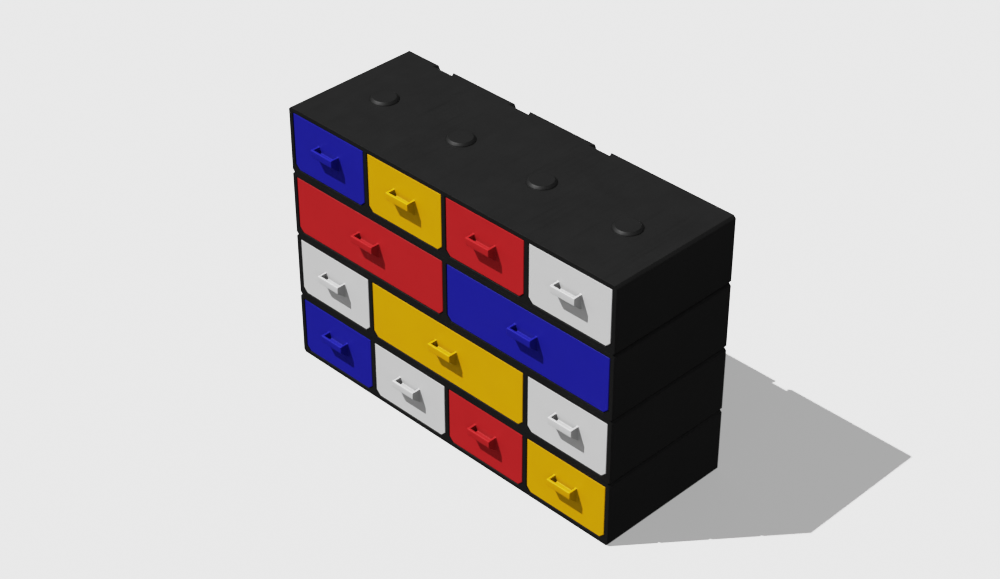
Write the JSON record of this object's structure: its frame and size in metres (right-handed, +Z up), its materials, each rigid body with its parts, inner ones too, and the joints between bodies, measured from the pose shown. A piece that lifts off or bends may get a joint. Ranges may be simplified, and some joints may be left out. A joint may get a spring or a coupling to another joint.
{
  "type": "stackable desktop drawer",
  "caption": "Low black cases stacked flush on round studs, with small plain coloured drawers, single and double width, that slide out by box-shaped pulls.",
  "frame": {"origin": "centre of the bounding box, at the underside of the bottom case", "axes": "+X across the fronts to the right as one faces them, +Y from front to back, +Z up"},
  "size_m": [0.2, 0.0776, 0.1386],
  "materials": {
    "black_plastic": "satin moulded black plastic",
    "white_plastic": "satin moulded white plastic",
    "yellow_plastic": "satin moulded yellow plastic",
    "red_plastic": "satin moulded red plastic",
    "blue_plastic": "satin moulded blue plastic"
  },
  "bodies": {
    "case_bottom": {"case_bottom": "black_plastic"},
    "case_third": {"case_third": "black_plastic"},
    "case_second": {"case_second": "black_plastic"},
    "case_top": {"case_top": "black_plastic"},
    "drawer_top_1_blue": {"drawer_top_1_blue": "blue_plastic"},
    "drawer_top_2_yellow": {"drawer_top_2_yellow": "yellow_plastic"},
    "drawer_top_3_red": {"drawer_top_3_red": "red_plastic"},
    "drawer_top_4_white": {"drawer_top_4_white": "white_plastic"},
    "drawer_second_1_red": {"drawer_second_1_red": "red_plastic"},
    "drawer_second_2_blue": {"drawer_second_2_blue": "blue_plastic"},
    "drawer_third_1_white": {"drawer_third_1_white": "white_plastic"},
    "drawer_third_2_yellow": {"drawer_third_2_yellow": "yellow_plastic"},
    "drawer_third_3_white": {"drawer_third_3_white": "white_plastic"},
    "drawer_bottom_1_blue": {"drawer_bottom_1_blue": "blue_plastic"},
    "drawer_bottom_2_white": {"drawer_bottom_2_white": "white_plastic"},
    "drawer_bottom_3_red": {"drawer_bottom_3_red": "red_plastic"},
    "drawer_bottom_4_yellow": {"drawer_bottom_4_yellow": "yellow_plastic"}
  },
  "joints": [
    {"name": "case_third_lift", "type": "slide", "parent": "case_bottom", "child": "case_third", "axis": [0, 0, 1], "range_m": [0, 0.03]},
    {"name": "case_second_lift", "type": "slide", "parent": "case_third", "child": "case_second", "axis": [0, 0, 1], "range_m": [0, 0.03]},
    {"name": "case_top_lift", "type": "slide", "parent": "case_second", "child": "case_top", "axis": [0, 0, 1], "range_m": [0, 0.03]},
    {"name": "drawer_top_1_blue_slide", "type": "slide", "parent": "case_top", "child": "drawer_top_1_blue", "axis": [0, -1, 0], "range_m": [0, 0.057]},
    {"name": "drawer_top_2_yellow_slide", "type": "slide", "parent": "case_top", "child": "drawer_top_2_yellow", "axis": [0, -1, 0], "range_m": [0, 0.057]},
    {"name": "drawer_top_3_red_slide", "type": "slide", "parent": "case_top", "child": "drawer_top_3_red", "axis": [0, -1, 0], "range_m": [0, 0.057]},
    {"name": "drawer_top_4_white_slide", "type": "slide", "parent": "case_top", "child": "drawer_top_4_white", "axis": [0, -1, 0], "range_m": [0, 0.057]},
    {"name": "drawer_second_1_red_slide", "type": "slide", "parent": "case_second", "child": "drawer_second_1_red", "axis": [0, -1, 0], "range_m": [0, 0.057]},
    {"name": "drawer_second_2_blue_slide", "type": "slide", "parent": "case_second", "child": "drawer_second_2_blue", "axis": [0, -1, 0], "range_m": [0, 0.057]},
    {"name": "drawer_third_1_white_slide", "type": "slide", "parent": "case_third", "child": "drawer_third_1_white", "axis": [0, -1, 0], "range_m": [0, 0.057]},
    {"name": "drawer_third_2_yellow_slide", "type": "slide", "parent": "case_third", "child": "drawer_third_2_yellow", "axis": [0, -1, 0], "range_m": [0, 0.057]},
    {"name": "drawer_third_3_white_slide", "type": "slide", "parent": "case_third", "child": "drawer_third_3_white", "axis": [0, -1, 0], "range_m": [0, 0.057]},
    {"name": "drawer_bottom_1_blue_slide", "type": "slide", "parent": "case_bottom", "child": "drawer_bottom_1_blue", "axis": [0, -1, 0], "range_m": [0, 0.057]},
    {"name": "drawer_bottom_2_white_slide", "type": "slide", "parent": "case_bottom", "child": "drawer_bottom_2_white", "axis": [0, -1, 0], "range_m": [0, 0.057]},
    {"name": "drawer_bottom_3_red_slide", "type": "slide", "parent": "case_bottom", "child": "drawer_bottom_3_red", "axis": [0, -1, 0], "range_m": [0, 0.057]},
    {"name": "drawer_bottom_4_yellow_slide", "type": "slide", "parent": "case_bottom", "child": "drawer_bottom_4_yellow", "axis": [0, -1, 0], "range_m": [0, 0.057]}
  ]
}
